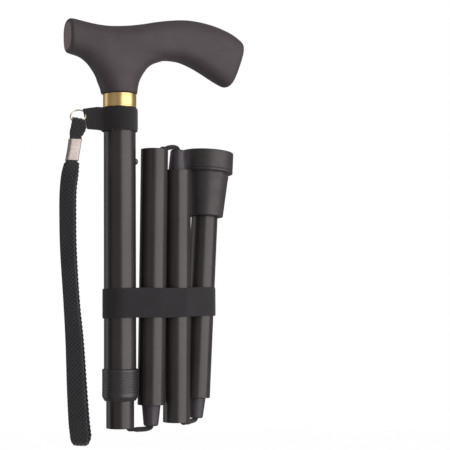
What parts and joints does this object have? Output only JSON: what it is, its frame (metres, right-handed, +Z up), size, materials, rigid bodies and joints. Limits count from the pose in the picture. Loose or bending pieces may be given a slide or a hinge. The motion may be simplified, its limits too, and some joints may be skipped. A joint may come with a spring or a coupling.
{
  "type": "folding walking cane",
  "caption": "Folding, height-adjustable aluminium walking cane with a derby handle, wrist strap, elastic folding band and single rubber tip, modelled folded.",
  "frame": {"origin": "centre of the folded cane at its lowest point, the bottom of the wrist strap", "axes": "+Z up along the upper shaft towards the handle, +X towards the handle long arm and the folded sections"},
  "size_m": [0.1374, 0.05, 0.294],
  "materials": {
    "grip_black": "soft satin black",
    "polished_brass": "polished",
    "coated_tube": "satin black powder coat",
    "joint_plastic": "moulded, matt",
    "spring_steel": "plated",
    "webbing": "woven black",
    "ring_wire": "pale gilt wire",
    "braided_strap": "braided black",
    "crimp_metal": "satin",
    "elastic_cord": "covered elastic",
    "tip_rubber": "matt moulded",
    "elastic_band": "flat elastic webbing"
  },
  "bodies": {
    "upper_shaft": {"handle_grip": "grip_black", "handle_stem": "spring_steel", "brass_collar": "polished_brass", "outer_tube": "coated_tube", "lock_collet": "joint_plastic"},
    "lock_ring": {"lock_ring": "joint_plastic"},
    "strap_mount": {"strap_holder": "webbing"},
    "ring": {"split_ring": "ring_wire"},
    "strap": {"wrist_strap": "braided_strap", "strap_crimp": "crimp_metal"},
    "band": {"folding_band": "elastic_band"},
    "inner_shaft": {"inner_tube": "coated_tube", "glide_bush": "joint_plastic", "button_spring": "spring_steel", "cord_anchor_top": "joint_plastic", "cord_upper": "elastic_cord", "socket_a": "joint_plastic"},
    "button": {"snap_button": "spring_steel"},
    "link_a": {"cord_bend_a": "elastic_cord"},
    "section_2": {"tube_2": "coated_tube", "insert_a": "joint_plastic", "cord_2": "elastic_cord", "socket_b": "joint_plastic"},
    "link_b": {"cord_bend_b": "elastic_cord"},
    "section_3": {"tube_3": "coated_tube", "insert_b": "joint_plastic", "cord_3": "elastic_cord", "socket_c": "joint_plastic"},
    "link_c": {"cord_bend_c": "elastic_cord"},
    "section_4": {"tube_4": "coated_tube", "insert_c": "joint_plastic", "cord_4": "elastic_cord", "cord_anchor_tip": "joint_plastic", "tip_washer": "spring_steel", "rubber_tip": "tip_rubber"}
  },
  "joints": [
    {"name": "height_adjust", "type": "slide", "parent": "upper_shaft", "child": "inner_shaft", "axis": [0, 0, -1], "range_m": [0, 0.12]},
    {"name": "lock_ring_turn", "type": "hinge", "parent": "upper_shaft", "child": "lock_ring", "pos_m": [-0.02387, -0.01088, 0.0388], "axis": [0, 0, 1], "range_deg": [0, 120]},
    {"name": "strap_swivel", "type": "hinge", "parent": "upper_shaft", "child": "strap_mount", "pos_m": [-0.02387, -0.01088, 0.2205], "axis": [0, 0, 1], "range_deg": [-80, 80]},
    {"name": "ring_swing", "type": "hinge", "parent": "strap_mount", "child": "ring", "pos_m": [-0.04922, -0.01444, 0.22415], "axis": [-0.1392, 0.9903, 0], "range_deg": [0, 60]},
    {"name": "strap_swing", "type": "hinge", "parent": "ring", "child": "strap", "pos_m": [-0.0565, -0.01546, 0.2168], "axis": [-0.1392, 0.9903, 0], "range_deg": [0, 30]},
    {"name": "band_slide", "type": "slide", "parent": "upper_shaft", "child": "band", "axis": [0, 0, -1], "range_m": [0, 0.105], "deforming": ["folding_band"]},
    {"name": "button_press", "type": "slide", "parent": "inner_shaft", "child": "button", "axis": [-1, 0, 0], "range_m": [0, 0.0033], "stiffness_N_per_m": 600, "springref_m": -0.0002, "deforming": ["button_spring"]},
    {"name": "fold_a", "type": "hinge", "parent": "inner_shaft", "child": "link_a", "pos_m": [-0.01272, -0.01088, 0.00715], "axis": [0, 1, 0], "range_deg": [0, 179], "stiffness_Nm_per_rad": 0.1, "springref_deg": -17.19, "deforming": ["cord_bend_a"]},
    {"name": "seat_a", "type": "slide", "parent": "link_a", "child": "section_2", "axis": [-0.0175, 0, -0.9998], "range_m": [0, 0.0204]},
    {"name": "fold_b", "type": "hinge", "parent": "section_2", "child": "link_b", "pos_m": [0.01149, -0.00884, 0.20576], "axis": [0.2079, -0.9781, -0.0036], "range_deg": [0, 179.5], "stiffness_Nm_per_rad": 0.1, "springref_deg": -17.19, "deforming": ["cord_bend_b"]},
    {"name": "seat_b", "type": "slide", "parent": "link_b", "child": "section_3", "axis": [0.0089, -0.0018, 1], "range_m": [0, 0.022]},
    {"name": "fold_c", "type": "hinge", "parent": "section_3", "child": "link_c", "pos_m": [0.02828, -0.00246, 0.00992], "axis": [-0.4067, 0.9135, 0.0053], "range_deg": [0, 176.5], "stiffness_Nm_per_rad": 0.1, "springref_deg": -17.19, "deforming": ["cord_bend_c"]},
    {"name": "seat_c", "type": "slide", "parent": "link_c", "child": "section_4", "axis": [-0.0647, -0.023, -0.9976], "range_m": [0, 0.019]}
  ],
  "couplings": [
    {"joint": "fold_b", "follows": "fold_a", "ratio": 1.0028}
  ]
}
